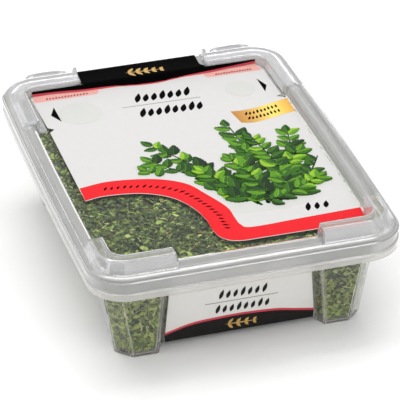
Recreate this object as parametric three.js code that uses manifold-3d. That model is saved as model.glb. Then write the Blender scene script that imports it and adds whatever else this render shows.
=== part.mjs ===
// Tub of dried parsley: a clear tapered tub on hollow corner feet, a translucent press-on lid,
// a film label that closes it like a seal, a front label and the herb inside.
// Millimetres, +Z up, front label towards -Y, origin on the table under the middle.
import * as THREE from 'three';
import { mergeVertices } from 'three/addons/utils/BufferGeometryUtils.js';
import Module from 'manifold-3d';

const wasm = await Module();
wasm.setup();

const CLEAR = 0.3;
const BELOW_ALL = -1;

// Lid: half sizes, corner radii and heights
const LID_HALF_X = 50;
const LID_HALF_Y = 67.9;
const LID_CORNER = 12.4;
const SIDE_BOW = 0.56;
const SKIN = 0.85;
const BEAD_TOP = 37.5;
const RIM_TOP = 37.0;
const SKIRT_TOP = 36.0;
const SKIRT_BOTTOM = 31.95;
const PANEL_TOP = 34.2;
const RECESS_HALF_X = 43.8;
const RECESS_HALF_Y = 59.0;
const RECESS_CORNER = 5.6;
const RECESS_DRAFT = 0.9;

// From the skirt over the bead to the rim: inset from the lid's outline, and height
const OUTER_EDGE = [
  [0, SKIRT_BOTTOM], [0, SKIRT_TOP], [0.45, 36.9], [1.5, BEAD_TOP], [2.4, BEAD_TOP], [2.8, RIM_TOP],
];
const INNER_EDGE = [
  [3.1, RIM_TOP - SKIN], [1.9, BEAD_TOP - SKIN], [SKIN, SKIRT_TOP - 0.3], [SKIN, SKIRT_BOTTOM],
];

// Lift tabs behind the lid
const TAB_REACH = 4.6;
const TAB_HALF_WIDTH = 7.4;
const TAB_CENTRES = [-31.6, 33.9];
const TAB_TOP = 36.0;
const TAB_THICKNESS = 1.3;
const TAB_CORNER = 3.4;
const TAB_HOLLOW = { halfX: 4.9, halfY: 1.3, fromLid: 2.3, depth: 0.6 };

// Stacking ridges on the lid's corners, and the fins at the ends of the back ones
const RIDGE_INNER_X = 41.9;
const RIDGE_INNER_Y = 58.7;
const RIDGE_INNER_CORNER = 4.2;
const RIDGE_WIDTH = 4.8;
const RIDGE_SLOPE = 1.9;
const RIDGE_BEVEL = 0.4;
const RIDGE_WALL = 1.2;
const RIDGE_SLOT = 1.6;
const FRONT_RIDGE = { top: 41.2, endX: 22.9, endY: 46.5, side: -1 };
const BACK_RIDGE = { top: 38.3, endX: 22.0, endY: 34.4, side: 1 };
const FIN_TOP = 40.2;
const FIN_HALF_THICKNESS = 0.6;
const FIN_FROM_END = 0.9;
const FIN_Y = { front: 60.6, peak: 64.3, shoulder: 64.9, back: 65.6 };

// Tub
const WALL_TOP = 29.75;
const FOOT_SIDE_X = 40.2;
const TOP_SIDE_X = 44.9;
const FOOT_FRONT_Y = 54.4;
const TOP_FRONT_Y = 56.7;
const CHAMFER = 4.8;
const POST_EDGE_X = [27.2, 24.5];
const POST_EDGE_Y = [43.4, 41.6];
const RECESS_DEPTH = 3.5;
const RECESS_RUN = 1.8;
const TUB_WALL = 0.95;
const FLOOR_RISE = 1.7;
const ARCH_HEIGHT = 2.0;
const ARCH_HALF = 2.16;
const ARCH_DEPTH = 1.4;
const ARCH_REACH = 4;
const NECK_X = 46.1;
const NECK_Y = 61.3;
const NECK_CORNER = 7.6;
const NECK_TOP = 36.1;
const NECK_WALL = 1.0;
const FLANGE_TOP = 31.6;
const FLANGE_BOTTOM = 29.4;
const FLANGE_INSET = 0.25;
const LIP_INSET = 1.2;

// Top label on the panel, and its strap over the back rim
const FILM = 0.4;
const LABEL_LEFT = -39.4;
const LABEL_RIGHT = 42.6;
const LABEL_RIGHT_BY_RIDGE = 41.5;
const LABEL_STEP_Y = [-46, -45.2];
const LABEL_FRONT = -51.5;
const LABEL_BACK = 57.7;
const LABEL_CORNER = 4.4;
const NOTCH_Y = 34.4;
const NOTCH_DEPTH = 1.9;
const NOTCH_HALF = 1.8;
const WINDOW_RIGHT = -5.9;
const WINDOW_BACK = -12.2;
const WINDOW_HALF = [27.2, 26];
const WINDOW_CORNER = 5.6;
const WINDOW_FOOT_Y = -43.6;
const FILM_WALL_Y = [57.35, 57.95];
const FILM_WALL_TOP = RIM_TOP + 0.35;
const SEAL_LEFT = -21.5;
const SEAL_RIGHT = 20.3;
const SEAL_BOTTOM = 30.2;
const SEAL_OVER_Y = [58.6, 66.6];
const SEAL_SHOULDER_Z = 36.9;

// Front label
const FRONT_LABEL_HALF = 24.6;
const FRONT_LABEL_Z = [2.2, 28.6];

// Dried herb
const HERB_TOP = 33.0;
const HERB_CLEARANCE = 0.35;
const FLAKE_RELIEF = 1.7;
const FLAKE_LENGTH = [8.5, 13.5];
const FLAKE_WIDTH = [3.6, 5.6];
const FLAKE_THICKNESS = 0.9;
const FLAKE_LIFT = 0.75;
const FLAKE_TILT = 0.17;
const FLAKE_CURL = [0.2, 1.1];
const TOP_FLAKE_AREA = 66;
const SIDE_FLAKE_AREA = 84;
const FLAKE_MARGIN = 2;
const SEED = 20260;

const { lerp, degToRad, radToDeg } = THREE.MathUtils;
const CORNERS = [[1, 1], [1, -1], [-1, 1], [-1, -1]];

// Solids and meshes

function solid(geometry) {
  geometry.deleteAttribute('normal');
  geometry.deleteAttribute('uv');
  const merged = mergeVertices(geometry, 1e-4);
  return new wasm.Manifold(new wasm.Mesh({
    numProp: 3,
    vertProperties: new Float32Array(merged.attributes.position.array),
    triVerts: new Uint32Array(merged.index.array),
  }));
}

function geometryOf(manifold) {
  const { vertProperties, triVerts } = manifold.getMesh();
  const geometry = new THREE.BufferGeometry();
  geometry.setAttribute('position', new THREE.BufferAttribute(new Float32Array(vertProperties), 3));
  geometry.setIndex(new THREE.BufferAttribute(new Uint32Array(triVerts), 1));
  geometry.computeVertexNormals();
  return geometry;
}

// Closed skin over rings of equal count, each anticlockwise from above, with flat end caps
function loft(rings) {
  const count = rings[0].length;
  const faces = [];
  for (let r = 0; r < rings.length - 1; r++) {
    for (let i = 0; i < count; i++) {
      const j = (i + 1) % count;
      const [a, b] = [r * count + i, r * count + j];
      faces.push(a, b, b + count, a, b + count, a + count);
    }
  }
  const cap = (ring) => THREE.ShapeUtils.triangulateShape(ring.map(([x, y]) => new THREE.Vector2(x, y)), []);
  const last = (rings.length - 1) * count;
  for (const [a, b, c] of cap(rings[0])) faces.push(c, b, a);
  for (const [a, b, c] of cap(rings.at(-1))) faces.push(last + a, last + b, last + c);
  const geometry = new THREE.BufferGeometry();
  geometry.setAttribute('position', new THREE.Float32BufferAttribute(rings.flat(2), 3));
  geometry.setIndex(faces);
  return solid(geometry);
}

const ring = (outline, z) => outline.map(([x, y]) => [x, y, z]);
const prism = (outline, z0, z1) => loft([ring(outline, z0), ring(outline, z1)]);

function block(x0, x1, y0, y1, z0, z1) {
  return prism([[x0, y0], [x1, y0], [x1, y1], [x0, y1]], z0, z1);
}

// A profile of [y, z] points swept straight from x0 to x1
function sweepX(profile, x0, x1) {
  const shape = new THREE.Shape(profile.map(([y, z]) => new THREE.Vector2(y, z)));
  const geometry = new THREE.ExtrudeGeometry(shape, { depth: x1 - x0, bevelEnabled: false });
  const turn = new THREE.Matrix4().makeBasis(
    new THREE.Vector3(0, 1, 0), new THREE.Vector3(0, 0, 1), new THREE.Vector3(1, 0, 0));
  geometry.applyMatrix4(turn);
  geometry.translate(x0, 0, 0);
  return solid(geometry);
}

// Outlines seen from above

function arc(cx, cy, radius, from, to, steps, radiusY = radius) {
  return Array.from({ length: steps + 1 }, (_, i) => {
    const angle = degToRad(lerp(from, to, i / steps));
    return [cx + radius * Math.cos(angle), cy + radiusY * Math.sin(angle)];
  });
}

// Round-cornered box whose long sides bow outwards a little
function lidOutline(halfX, halfY, radius) {
  const [cx, cy] = [halfX - radius, halfY - radius];
  const bowed = [-0.5, 0, 0.5].map((s) => [halfX + SIDE_BOW * (1 - s * s), s * cy]);
  return [
    ...bowed,
    ...arc(cx, cy, radius, 0, 90, 5),
    ...arc(-cx, cy, radius, 90, 180, 5),
    ...bowed.map(([x, y]) => [-x, -y]),
    ...arc(-cx, -cy, radius, 180, 270, 5),
    ...arc(cx, -cy, radius, 270, 360, 5),
  ];
}

const lidEdge = (inset) => lidOutline(LID_HALF_X - inset, LID_HALF_Y - inset, LID_CORNER - inset);
const neckEdge = (inset) => lidOutline(NECK_X - inset, NECK_Y - inset, NECK_CORNER - inset);

// The tub's outline at a height, moved inwards by a wall: posts, chamfers and recessed panels
function tubOutline(height, wall) {
  const t = height / WALL_TOP;
  const x = lerp(FOOT_SIDE_X, TOP_SIDE_X, t) - wall;
  const y = lerp(FOOT_FRONT_Y, TOP_FRONT_Y, t) - wall;
  const cut = CHAMFER - wall * (2 - Math.SQRT2);
  const postX = lerp(...POST_EDGE_X, t) + wall;
  const postY = lerp(...POST_EDGE_Y, t) + wall;
  const quadrant = [
    [postX - RECESS_RUN, y - RECESS_DEPTH],
    [postX, y],
    [x - cut, y],
    [x, y - cut],
    [x, postY],
    [x - RECESS_DEPTH, postY - RECESS_RUN],
  ];
  const place = (sx, sy) => quadrant.map(([px, py]) => [sx * px, sy * py]);
  return [...place(1, -1), ...place(1, 1).reverse(), ...place(-1, 1), ...place(-1, -1).reverse()];
}

// L over one corner of the lid, between an inner and an outer edge
function cornerL(inset, width, endX, endY, signX, signY) {
  const innerX = RIDGE_INNER_X + inset;
  const innerY = RIDGE_INNER_Y + inset;
  const radius = RIDGE_INNER_CORNER + inset;
  const outer = radius + width;
  const [cx, cy] = [innerX - radius, innerY - radius];
  const points = [
    [innerX + width, endY],
    ...arc(cx, cy, outer, 0, 90, 4),
    [endX, innerY + width],
    [endX, innerY],
    ...arc(cx, cy, radius, 90, 0, 3),
    [innerX, endY],
  ].map(([x, y]) => [x * signX, y * signY]);
  return signX * signY > 0 ? points : points.reverse();
}

// Tub

// Blocks under the floor between the feet, and the shallow arch under each corner's chamfer
function underFloor(grow) {
  const top = FLOOR_RISE + grow;
  const reachX = POST_EDGE_X[0] + grow - RECESS_RUN;
  const reachY = POST_EDGE_Y[0] + grow - RECESS_RUN;
  let blocks = block(-reachX, reachX, -LID_HALF_Y, LID_HALF_Y, BELOW_ALL, top)
    .add(block(-LID_HALF_X, LID_HALF_X, -reachY, reachY, BELOW_ALL, top));
  const half = ARCH_HALF + grow;
  for (const [sx, sy] of CORNERS) {
    const arch = block(-half, half, -ARCH_REACH, ARCH_DEPTH + grow, BELOW_ALL, ARCH_HEIGHT + grow)
      .rotate([0, 0, radToDeg(Math.atan2(sy, sx)) + 90])
      .translate([sx * (FOOT_SIDE_X - CHAMFER / 2), sy * (FOOT_FRONT_Y - CHAMFER / 2), 0]);
    blocks = blocks.add(arch);
  }
  return blocks;
}

function tubSolid() {
  const outer = loft([ring(tubOutline(0, 0), 0), ring(tubOutline(WALL_TOP, 0), WALL_TOP)]);
  const wallAtFlange = prism(tubOutline(WALL_TOP, 0), FLANGE_BOTTOM - 1, FLANGE_TOP);
  const lip = prism(lidEdge(FLANGE_INSET), FLANGE_BOTTOM, FLANGE_TOP)
    .subtract(prism(lidEdge(LIP_INSET), FLANGE_BOTTOM - 1, FLANGE_TOP - TUB_WALL));
  const neck = prism(neckEdge(0), FLANGE_TOP - 0.5, NECK_TOP);
  const shell = outer.subtract(underFloor(0)).add(lip).add(wallAtFlange).add(neck);
  const inside = loft([
    ring(tubOutline(0, TUB_WALL), TUB_WALL),
    ring(tubOutline(WALL_TOP, TUB_WALL), FLANGE_TOP + 0.1),
  ]).subtract(underFloor(TUB_WALL));
  const mouth = prism(neckEdge(NECK_WALL), FLANGE_TOP, NECK_TOP + 1);
  return shell.subtract(inside).subtract(mouth);
}

// Lid

function lidShell() {
  const edge = ([inset, z]) => ring(lidEdge(inset), z);
  const recess = (grow, z) => ring(
    lidOutline(RECESS_HALF_X + grow, RECESS_HALF_Y + grow, RECESS_CORNER + grow), z);
  return loft([
    recess(SKIN - RECESS_DRAFT - 0.05, PANEL_TOP - SKIN),
    recess(SKIN - 0.15, RIM_TOP - SKIN),
    ...INNER_EDGE.map(edge),
    ...OUTER_EDGE.map(edge),
    recess(0, RIM_TOP),
    recess(-RECESS_DRAFT, PANEL_TOP),
  ]);
}

// Outside and hollow of one raised L, open below into the rim
function ridgePair(ridge, signX) {
  const { top, endX, endY, side } = ridge;
  const slope = RIDGE_SLOPE * (top - RIM_TOP) / (FRONT_RIDGE.top - RIM_TOP);
  const shape = (inset, width) => cornerL(inset, width, endX + inset, endY + inset, signX, side);
  const crown = loft([
    ring(shape(0, RIDGE_WIDTH + slope), RIM_TOP - 0.3),
    ring(shape(0, RIDGE_WIDTH), top - RIDGE_BEVEL - 0.1),
    ring(shape(RIDGE_BEVEL, RIDGE_WIDTH - 2 * RIDGE_BEVEL - 0.1), top),
  ]);
  const wall = prism(shape(0, RIDGE_WALL), PANEL_TOP - SKIN, RIM_TOP);
  const hollow = loft([
    ring(shape(SKIN, RIDGE_WIDTH + slope - 1.9), RIM_TOP - SKIN - 0.5),
    ring(shape(SKIN, RIDGE_WIDTH - 1.75), top - SKIN),
  ]);
  const slot = prism(shape(SKIN, RIDGE_SLOT), PANEL_TOP - 2, RIM_TOP - 0.2);
  return { outside: crown.add(wall), inside: hollow.add(slot) };
}

function tabSolid(centre) {
  const back = LID_HALF_Y - SKIN / 2;
  const reach = LID_HALF_Y + TAB_REACH;
  const outline = [
    [TAB_HALF_WIDTH, back],
    ...arc(TAB_HALF_WIDTH - TAB_CORNER, reach - TAB_CORNER, TAB_CORNER, 0, 90, 4),
    ...arc(TAB_CORNER - TAB_HALF_WIDTH, reach - TAB_CORNER, TAB_CORNER, 90, 180, 4),
    [-TAB_HALF_WIDTH, back],
  ].map(([x, y]) => [x + centre, y]);
  const { halfX, halfY, fromLid, depth } = TAB_HOLLOW;
  const dip = arc(centre, LID_HALF_Y + fromLid, halfX, 0, 337.5, 15, halfY);
  const hollow = prism(dip, TAB_TOP - depth, TAB_TOP + 1);
  return prism(outline, TAB_TOP - TAB_THICKNESS, TAB_TOP).subtract(hollow);
}

function finSolid(x) {
  const foot = RIM_TOP - 0.4;
  const { front, peak, shoulder, back } = FIN_Y;
  const profile = [[front, foot], [back, foot], [shoulder, FIN_TOP - 0.4], [peak, FIN_TOP]];
  return sweepX(profile, x - FIN_HALF_THICKNESS, x + FIN_HALF_THICKNESS);
}

function lidSolid() {
  let lid = lidShell();
  const ridges = [-1, 1].flatMap((signX) => [ridgePair(FRONT_RIDGE, signX), ridgePair(BACK_RIDGE, signX)]);
  for (const { outside } of ridges) lid = lid.add(outside);
  for (const { inside } of ridges) lid = lid.subtract(inside);
  for (const centre of TAB_CENTRES) lid = lid.add(tabSolid(centre));
  for (const side of [-1, 1]) lid = lid.add(finSolid(side * (BACK_RIDGE.endX + FIN_FROM_END)));
  return lid;
}

// Labels

// Film on the panel, cut round the window at its front left, then up and over the back rim
function topLabelSolid() {
  const z = PANEL_TOP + CLEAR;
  const corner = [LABEL_RIGHT_BY_RIDGE - LABEL_CORNER, LABEL_BACK - LABEL_CORNER];
  const left = LABEL_LEFT + LABEL_CORNER;
  const [windowX, windowY] = WINDOW_HALF;
  const outline = [
    [LABEL_LEFT, WINDOW_BACK - 1.4],
    ...arc(WINDOW_RIGHT - windowX, WINDOW_BACK - windowY, windowX, 90, 0, 6, windowY),
    [WINDOW_RIGHT + 0.2, WINDOW_FOOT_Y],
    ...arc(WINDOW_RIGHT + WINDOW_CORNER, LABEL_FRONT + WINDOW_CORNER, WINDOW_CORNER, 190, 270, 3),
    [LABEL_RIGHT_BY_RIDGE, LABEL_FRONT],
    [LABEL_RIGHT_BY_RIDGE, LABEL_STEP_Y[0]],
    [LABEL_RIGHT, LABEL_STEP_Y[1]],
    [LABEL_RIGHT, NOTCH_Y - NOTCH_HALF],
    [LABEL_RIGHT_BY_RIDGE - NOTCH_DEPTH, NOTCH_Y],
    [LABEL_RIGHT_BY_RIDGE, NOTCH_Y + NOTCH_HALF],
    ...arc(...corner, LABEL_CORNER, 0, 90, 3),
    ...arc(left, corner[1], LABEL_CORNER, 90, 180, 3),
    [LABEL_LEFT, NOTCH_Y + NOTCH_HALF],
    [LABEL_LEFT + NOTCH_DEPTH, NOTCH_Y],
    [LABEL_LEFT, NOTCH_Y - NOTCH_HALF],
  ];
  const panel = prism(outline, z, z + FILM);
  const [low, high] = FILM_WALL_Y;
  const wall = sweepX(
    [[low, z], [low + FILM, z], [high + FILM, FILM_WALL_TOP], [high, FILM_WALL_TOP]], left, corner[0]);
  const over = BEAD_TOP + CLEAR;
  const back = LID_HALF_Y + CLEAR;
  const [rise, fall] = SEAL_OVER_Y;
  const seal = sweepX([
    [high, FILM_WALL_TOP - 0.3], [high + FILM, FILM_WALL_TOP - 0.3], [rise, over], [fall, over],
    [back - 0.2, SEAL_SHOULDER_Z], [back, SKIRT_TOP], [back, SEAL_BOTTOM],
    [back + FILM, SEAL_BOTTOM], [back + FILM, SKIRT_TOP], [back + 0.25, SEAL_SHOULDER_Z + 0.2],
    [fall + 0.2, over + FILM], [rise - 0.2, over + FILM],
  ], SEAL_LEFT, SEAL_RIGHT);
  return panel.add(wall).add(seal);
}

function frontLabelSolid() {
  const drop = (TOP_FRONT_Y - FOOT_FRONT_Y) / WALL_TOP;
  const face = (z, out) => -(FOOT_FRONT_Y - RECESS_DEPTH + drop * z + CLEAR + out);
  const [z0, z1] = FRONT_LABEL_Z;
  const sheet = sweepX([[face(z0, FILM), z0], [face(z0, 0), z0], [face(z1, 0), z1], [face(z1, FILM), z1]],
    -FRONT_LABEL_HALF, FRONT_LABEL_HALF);
  const narrow = (POST_EDGE_X[0] - POST_EDGE_X[1]) / WALL_TOP;
  const half = (z) => POST_EDGE_X[0] - RECESS_RUN - CLEAR - narrow * z;
  const taper = loft([z0 - 1, z1 + 1].map((z) => [
    [-half(z), -TOP_FRONT_Y, z], [half(z), -TOP_FRONT_Y, z], [half(z), 0, z], [-half(z), 0, z]]));
  return sheet.intersect(taper);
}

// Dried herb

function randomSource(seed) {
  let state = seed;
  return () => {
    state = (state * 1664525 + 1013904223) % 4294967296;
    return state / 4294967296;
  };
}

const random = randomSource(SEED);
const between = ([low, high]) => lerp(low, high, random());

// One curled scrap of leaf, four-sided in section, lying on a face given by its frame
function flake(origin, along, up, out) {
  const length = between(FLAKE_LENGTH);
  const width = between(FLAKE_WIDTH);
  const turn = random() * Math.PI;
  const tilt = between([-FLAKE_TILT, FLAKE_TILT]);
  const curl = between(FLAKE_CURL);
  const stations = [[-0.5, 0], [-0.17, between([0.85, 1.15])], [0.2, between([0.75, 1.1])], [0.5, 0]];
  const point = (s, side, lift) => {
    const u = s * length;
    const v = side * width / 2;
    const raised = FLAKE_LIFT + u * tilt - curl * (2 * s) ** 2 + lift * FLAKE_THICKNESS / 2;
    const a = u * Math.cos(turn) - v * Math.sin(turn);
    const b = u * Math.sin(turn) + v * Math.cos(turn);
    return origin.clone().addScaledVector(along, a).addScaledVector(up, b)
      .addScaledVector(out, Math.min(FLAKE_RELIEF, raised));
  };
  const section = [[-1, 0], [0, -1], [1, 0], [0, 1]];
  const vertices = stations.flatMap(([s, broad]) => (broad === 0
    ? [point(s, 0, 0)]
    : section.map(([side, lift]) => point(s, side * broad, lift))));
  const faces = [];
  for (let i = 0; i < 4; i++) {
    const j = (i + 1) % 4;
    faces.push(0, 1 + j, 1 + i);
    faces.push(1 + i, 1 + j, 5 + j, 1 + i, 5 + j, 5 + i);
    faces.push(9, 5 + i, 5 + j);
  }
  const geometry = new THREE.BufferGeometry().setFromPoints(vertices);
  geometry.setIndex(faces);
  return solid(geometry);
}

// Space for the herb: inside the walls, and over the flange's ledge inside the neck
function herbSpace(inset, top) {
  const wall = TUB_WALL + HERB_CLEARANCE + inset;
  const inTub = loft([
    ring(tubOutline(0, wall), wall),
    ring(tubOutline(WALL_TOP, wall), WALL_TOP),
    ring(tubOutline(WALL_TOP, wall), top),
  ]).subtract(underFloor(wall));
  const ledge = FLANGE_TOP + CLEAR + inset;
  return top > ledge ? inTub.add(prism(neckEdge(NECK_WALL + HERB_CLEARANCE), ledge, top)) : inTub;
}

function topFlakes() {
  const z = HERB_TOP - FLAKE_RELIEF;
  const [spanX, spanY] = [NECK_X - NECK_WALL - FLAKE_MARGIN, NECK_Y - NECK_WALL - FLAKE_MARGIN];
  const perRow = Math.round(2 * spanX / Math.sqrt(TOP_FLAKE_AREA));
  const rows = Math.round(2 * spanY / Math.sqrt(TOP_FLAKE_AREA));
  const axes = [new THREE.Vector3(1, 0, 0), new THREE.Vector3(0, 1, 0), new THREE.Vector3(0, 0, 1)];
  const flakes = [];
  for (let row = 0; row < rows; row++) {
    for (let i = 0; i < perRow; i++) {
      const x = spanX * (2 * (i + random()) / perRow - 1);
      const y = spanY * (2 * (row + random()) / rows - 1);
      flakes.push(flake(new THREE.Vector3(x, y, z), ...axes));
    }
  }
  return flakes;
}

function sideFlakes() {
  const wall = TUB_WALL + HERB_CLEARANCE + FLAKE_RELIEF;
  const bottom = FLOOR_RISE + wall;
  const low = ring(tubOutline(bottom, wall), bottom).map((p) => new THREE.Vector3(...p));
  const high = ring(tubOutline(WALL_TOP, wall), WALL_TOP).map((p) => new THREE.Vector3(...p));
  const flakes = [];
  for (let i = 0; i < low.length; i++) {
    const along = low[(i + 1) % low.length].clone().sub(low[i]);
    const up = high[i].clone().sub(low[i]);
    const count = Math.round(along.length() * up.length() / SIDE_FLAKE_AREA);
    const out = along.clone().cross(up).normalize();
    const level = along.clone().normalize();
    const rise = out.clone().cross(level);
    for (let k = 0; k < count; k++) {
      const place = low[i].clone().addScaledVector(along, (k + random()) / count);
      place.addScaledVector(up, random());
      flakes.push(flake(place, level, rise, out));
    }
  }
  return flakes;
}

function herbSolid() {
  const core = herbSpace(FLAKE_RELIEF, HERB_TOP - FLAKE_RELIEF);
  const heap = wasm.Manifold.union([core, ...topFlakes(), ...sideFlakes()]).intersect(herbSpace(0, HERB_TOP));
  // Scraps that the clipping cut loose are dropped
  return heap.decompose().reduce((best, piece) => (piece.volume() > best.volume() ? piece : best));
}

// Assembly

const group = new THREE.Group();
group.position.y = -TAB_REACH / 2;

function addPart(name, manifold, color, roughness, extra = {}) {
  const material = new THREE.MeshStandardMaterial({ color, roughness, metalness: 0, ...extra });
  const mesh = new THREE.Mesh(geometryOf(manifold), material);
  mesh.name = name;
  group.add(mesh);
}

addPart('tub', tubSolid(), 0xdfe2de, 0.12, { transparent: true, opacity: 0.35 });
addPart('lid', lidSolid(), 0xd6d6d8, 0.22, { transparent: true, opacity: 0.55 });
addPart('top_label', topLabelSolid(), 0xe9e9e7, 0.35);
addPart('front_label', frontLabelSolid(), 0xe9e9e7, 0.35);
addPart('dried_parsley', herbSolid(), 0x56683a, 0.85);

export default group;
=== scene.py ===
"""Looks of the tub of dried parsley: clear tub, translucent lid, printed labels and loose flakes.

Lengths are millimetres about the middle of the lid, turned into metres of the frame by to_frame().
"""

import math

import bpy
import numpy as np
from mathutils import Matrix, Vector


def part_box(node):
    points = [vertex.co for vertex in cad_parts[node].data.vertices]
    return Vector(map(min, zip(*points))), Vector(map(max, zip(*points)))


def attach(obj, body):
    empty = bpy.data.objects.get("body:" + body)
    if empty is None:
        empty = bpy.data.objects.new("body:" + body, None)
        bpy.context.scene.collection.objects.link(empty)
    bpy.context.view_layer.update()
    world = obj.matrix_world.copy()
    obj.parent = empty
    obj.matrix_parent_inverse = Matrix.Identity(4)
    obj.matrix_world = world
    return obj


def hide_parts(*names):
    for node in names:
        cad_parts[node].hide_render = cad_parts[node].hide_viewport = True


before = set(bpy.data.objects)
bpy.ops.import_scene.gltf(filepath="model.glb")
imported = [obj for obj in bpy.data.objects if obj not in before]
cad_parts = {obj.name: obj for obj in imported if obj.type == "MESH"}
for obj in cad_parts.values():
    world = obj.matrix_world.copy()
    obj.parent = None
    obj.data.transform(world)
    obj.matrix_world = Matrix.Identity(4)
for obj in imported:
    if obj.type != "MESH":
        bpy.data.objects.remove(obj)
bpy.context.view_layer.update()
MM = 0.001

# Driving dimensions of the lid
LID_HALF_X, LID_HALF_Y, LID_CORNER = 50.0, 67.9, 12.4
RECESS_X, RECESS_Y, RECESS_CORNER = 43.8, 59.0, 5.6
RIDGE_X, RIDGE_Y, RIDGE_CORNER = 41.9, 58.7, 4.2
SIDE_BOW = 0.56
SKIN = 0.85
PANEL_TOP = 34.2
RIM_TOP = 37.0
BEAD_TOP = 37.5
SKIRT_TOP = 36.0
SKIRT_BOTTOM = 31.68
FRONT_RIDGE = {"top": 41.2, "end_x": 22.9, "end_y": 46.5, "bead": 1.6}
BACK_RIDGE = {"top": 38.3, "end_x": 22.0, "end_y": 34.4, "bead": 2.1}
RIDGE_WIDTH = 4.8
RIDGE_SLOPE = 1.9
RIDGE_END_RUN = 1.1
RIDGE_END_START = -0.45
STRAP_DIP = 0.8
LEFT_LEDGE = 0.3
TAB_REACH = 4.6
TAB_HALF_WIDTH = 7.4
TAB_CENTRES = (-31.6, 33.9)
TAB_TOP = 36.0
TAB_THICKNESS = 1.3
TAB_CORNER = 3.4
TAB_ROOT = 0.6
DIMPLE_Y = 2.35
FIN_X = 22.9

# Driving dimensions of the tub
WALL_TOP = 29.75
FOOT_X, TOP_X = 40.2, 44.9
FOOT_Y, TOP_Y = 54.4, 56.7
CHAMFER = 4.8
POST_X = (27.2, 24.5)
POST_Y = (43.4, 41.6)
RECESS_DEPTH = 3.5
RECESS_RUN = 1.8
TUB_WALL = 0.6
FLOOR_RISE = 1.7
ARCH_HEIGHT = 2.0
NECK_X, NECK_Y, NECK_CORNER, NECK_TOP = 46.1, 61.3, 7.6, 36.1
FLANGE_TOP, FLANGE_BOTTOM = 31.6, 29.4
EDGE_ROUND = 0.9

# Labels
FILM = 0.12
INK = 0.04
INK_BASE = FILM - 0.02
INK_DEPTH = INK + 0.02
MARK_DEPTH = INK + 0.03
TWIG_LEAF_DEPTH = INK + 0.035
LABEL_GAP = 0.3
FILM_BASE = 34.3
WALL_FOOT_Y = 57.5
SEAL_LEFT, SEAL_RIGHT = -21.5, 20.3
SEAL_BOTTOM = 30.2
RIBBON_X = (21.6, 42.6)

# Herb
HERB_TOP = 33.1
WALL_GAP = 0.1
LEDGE_GAP = 0.15
FOOT_HERB = 1.35
SEED = 20260

LID_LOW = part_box("lid")[0]
MIDDLE_Y = LID_LOW.y + LID_HALF_Y * MM


def to_frame(points):
    return np.asarray(points, float) * MM + np.array([0.0, MIDDLE_Y, 0.0])


def smooth(t):
    t = np.clip(t, 0.0, 1.0)
    return t * t * (3.0 - 2.0 * t)


def lerp(a, b, t):
    return a + (b - a) * t


def at_height(outline, z):
    """Points of a flat outline, all at the height z."""
    return np.column_stack([outline, np.full(len(outline), z)])


def ellipse(x, y, half_x, half_y, count=48):
    t = np.linspace(0, 2 * math.pi, count, endpoint=False)
    return np.stack([x + half_x * np.cos(t), y + half_y * np.sin(t)], 1)


def add_object(name, data):
    """A new object in the scene."""
    obj = bpy.data.objects.new(name, data)
    bpy.context.scene.collection.objects.link(obj)
    return obj


# Camera, fitted to the photograph's edges: degrees, millimetres and pixels
YAW, PITCH, ROLL = 16.1385, 30.6239, -0.6779
DISTANCE, TARGET_HEIGHT = 883.32, 20.0
SHIFT_RIGHT, SHIFT_UP = -2.3329, -0.0526
FOCAL_PIXELS, IMAGE_SIZE, SENSOR = 2704.75, 400, 36.0


def make_camera():
    yaw, pitch, roll = (math.radians(angle) for angle in (YAW, PITCH, ROLL))
    forward = Vector((math.sin(yaw) * math.cos(pitch), math.cos(yaw) * math.cos(pitch), -math.sin(pitch)))
    level = Vector((math.cos(yaw), -math.sin(yaw), 0.0))
    above = level.cross(forward)
    right = level * math.cos(roll) + above * math.sin(roll)
    up = above * math.cos(roll) - level * math.sin(roll)
    place = Vector((0, 0, TARGET_HEIGHT)) - forward * DISTANCE - right * SHIFT_RIGHT - up * SHIFT_UP
    data = bpy.data.cameras.new("camera")
    data.sensor_width = SENSOR
    data.lens = FOCAL_PIXELS * SENSOR / IMAGE_SIZE
    data.clip_start, data.clip_end = 0.05, 20.0
    camera = add_object("camera", data)
    turn = Matrix((right, up, -forward)).transposed().to_4x4()
    camera.matrix_world = Matrix.Translation(Vector(to_frame(place))) @ turn
    bpy.context.scene.camera = camera


# Materials


def rgb(code):
    """Linear colour of a hex code."""
    values = [int(code[i:i + 2], 16) / 255 for i in (0, 2, 4)]
    return tuple(v / 12.92 if v <= 0.04045 else ((v + 0.055) / 1.055) ** 2.4 for v in values) + (1.0,)


def grey(value):
    return (value, value, value, 1.0)


def shaded(colour, share):
    return tuple(c * share for c in colour[:3]) + (1.0,)


def fill(node, **inputs):
    """Sets values of a node's inputs, with _ for a space in their names."""
    for key, value in inputs.items():
        node.inputs[key.replace("_", " ")].default_value = value


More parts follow.
